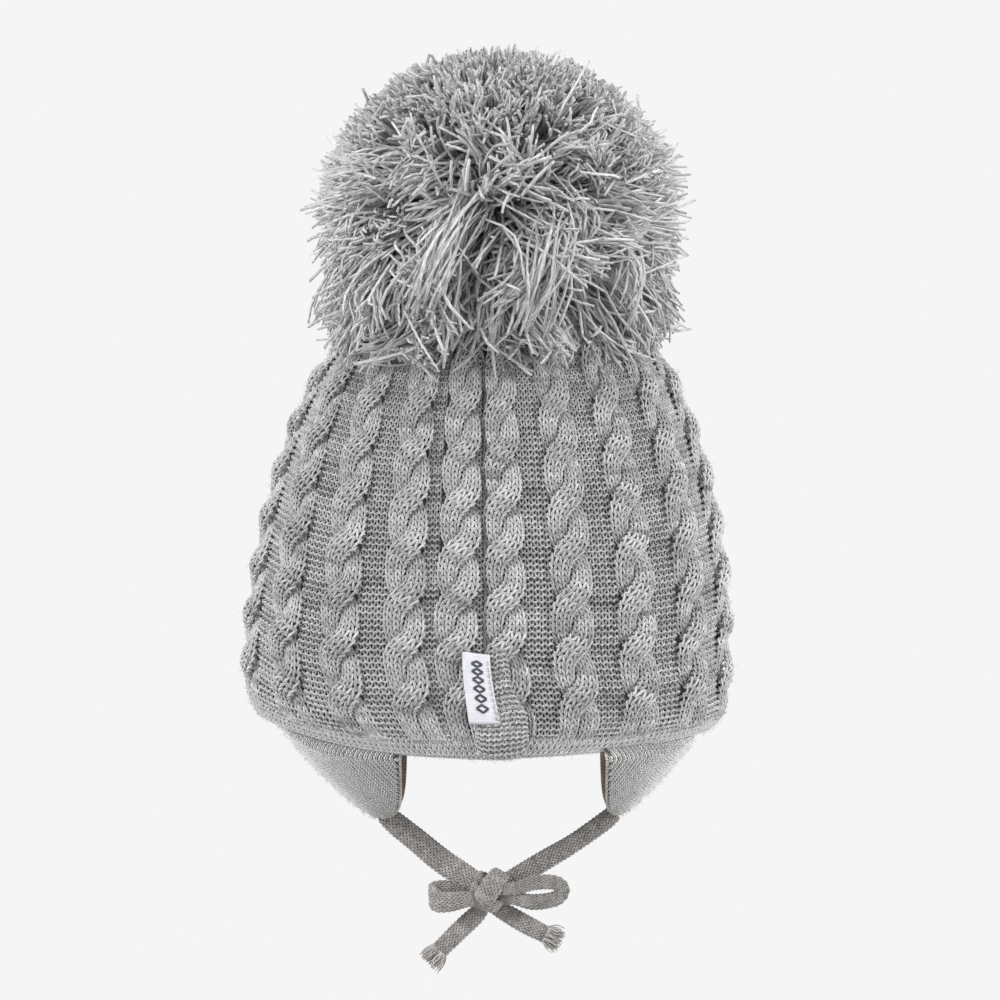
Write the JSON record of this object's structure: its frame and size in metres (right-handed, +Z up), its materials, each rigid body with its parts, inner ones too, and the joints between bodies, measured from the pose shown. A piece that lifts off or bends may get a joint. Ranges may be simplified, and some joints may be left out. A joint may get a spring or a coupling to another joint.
{
  "type": "pom pom beanie",
  "caption": "Cable-knit winter hat for a small child, with a large yarn pom-pom, lined ear flaps and knitted ties in a bow.",
  "frame": {"origin": "centre of the head opening, level with the lower edge of the hem at the back", "axes": "+Z up through the crown and the pom-pom; the back of the hat, with the seam and the label, faces -Y; +X to the right of someone who looks at the back"},
  "size_m": [0.1948, 0.1446, 0.3678],
  "materials": {
    "cable_knit": "matte melange wool-mix yarn, cabled stockinette",
    "hem_knit": "matte melange knit, plain rows",
    "flap_jersey": "matte fine jersey",
    "lining_jersey": "soft fine cotton jersey",
    "tie_knit": "matte flat knitted cord",
    "pom_yarn": "matte plied yarn, cut ends",
    "thread": "matte sewing yarn",
    "label_weave": "satin-woven tape",
    "care_tape": "smooth printed tape, blank"
  },
  "bodies": {
    "hat": {"knit_shell": "cable_knit", "hem_band": "hem_knit", "seam_tab": "hem_knit", "seam_allowance": "cable_knit", "inner_lining": "lining_jersey", "left_flap_seam": "thread", "right_flap_seam": "thread", "care_label": "care_tape", "label_stitching": "thread", "anchor_knot": "thread", "crown_drawstring": "pom_yarn"},
    "pom_loop": {"pom_anchor_loop": "thread"},
    "pom": {"pom_yarn": "pom_yarn", "pom_binding": "thread", "pom_tie_ends": "thread"},
    "label": {"woven_label": "label_weave"},
    "left_flap": {"left_flap_knit": "flap_jersey", "left_flap_lining": "lining_jersey"},
    "right_flap": {"right_flap_knit": "flap_jersey", "right_flap_lining": "lining_jersey", "right_tie_tack": "thread"},
    "left_tack": {"left_tie_tack": "thread"},
    "left_tie": {"left_tie": "tie_knit"},
    "bow": {"bow_knot": "tie_knit", "bow_loop_left": "tie_knit", "bow_loop_right": "tie_knit", "tie_tail_left": "tie_knit", "tie_tail_right": "tie_knit", "tail_fringe_left": "tie_knit", "tail_fringe_right": "tie_knit"},
    "right_tie": {"right_tie": "tie_knit"}
  },
  "joints": [
    {"name": "pom_nod", "type": "hinge", "parent": "hat", "child": "pom_loop", "pos_m": [0.004, 0, 0.184], "axis": [1, 0, 0], "range_deg": [-7, 7], "stiffness_Nm_per_rad": 0.25},
    {"name": "pom_sway", "type": "hinge", "parent": "pom_loop", "child": "pom", "pos_m": [0.004, 0, 0.184], "axis": [0, 1, 0], "range_deg": [-7, 7], "stiffness_Nm_per_rad": 0.25},
    {"name": "label_flip", "type": "hinge", "parent": "hat", "child": "label", "pos_m": [0.0064, -0.0618, 0.0097], "axis": [-0.1887, 0, 0.982], "range_deg": [0, 110], "stiffness_Nm_per_rad": 0.0005},
    {"name": "left_flap_swing", "type": "hinge", "parent": "hat", "child": "left_flap", "pos_m": [-0.074, 0, 0.005], "axis": [0, 1, 0], "range_deg": [-6, 4], "stiffness_Nm_per_rad": 0.02},
    {"name": "right_flap_swing", "type": "hinge", "parent": "hat", "child": "right_flap", "pos_m": [0.078, 0, 0.005], "axis": [0, 1, 0], "range_deg": [-4.5, 6.5], "stiffness_Nm_per_rad": 0.02},
    {"name": "bow_swing", "type": "hinge", "parent": "left_flap", "child": "left_tack", "pos_m": [-0.041, 0, -0.027], "axis": [0.9999, 0, 0.0162], "range_deg": [-25, 25]},
    {"name": "left_tie_turn", "type": "hinge", "parent": "left_tack", "child": "left_tie", "pos_m": [-0.041, 0, -0.027], "axis": [0, 1, 0], "range_deg": [-9.28, 13.66]},
    {"name": "bow_turn", "type": "hinge", "parent": "left_tie", "child": "bow", "pos_m": [0.0014, 0, -0.0565], "axis": [0, 1, 0], "range_deg": [-7.66, 5.28]},
    {"name": "right_tie_turn", "type": "hinge", "parent": "bow", "child": "right_tie", "pos_m": [0.0014, 0, -0.0565], "axis": [0, 1, 0], "range_deg": [-5.79, 4.02]}
  ],
  "couplings": [
    {"joint": "right_flap_swing", "follows": "left_flap_swing", "ratio": -1},
    {"joint": "left_tie_turn", "follows": "left_flap_swing", "ratio": -2.194},
    {"joint": "bow_turn", "follows": "left_flap_swing", "ratio": 1.194},
    {"joint": "right_tie_turn", "follows": "left_flap_swing", "ratio": 0.881}
  ]
}
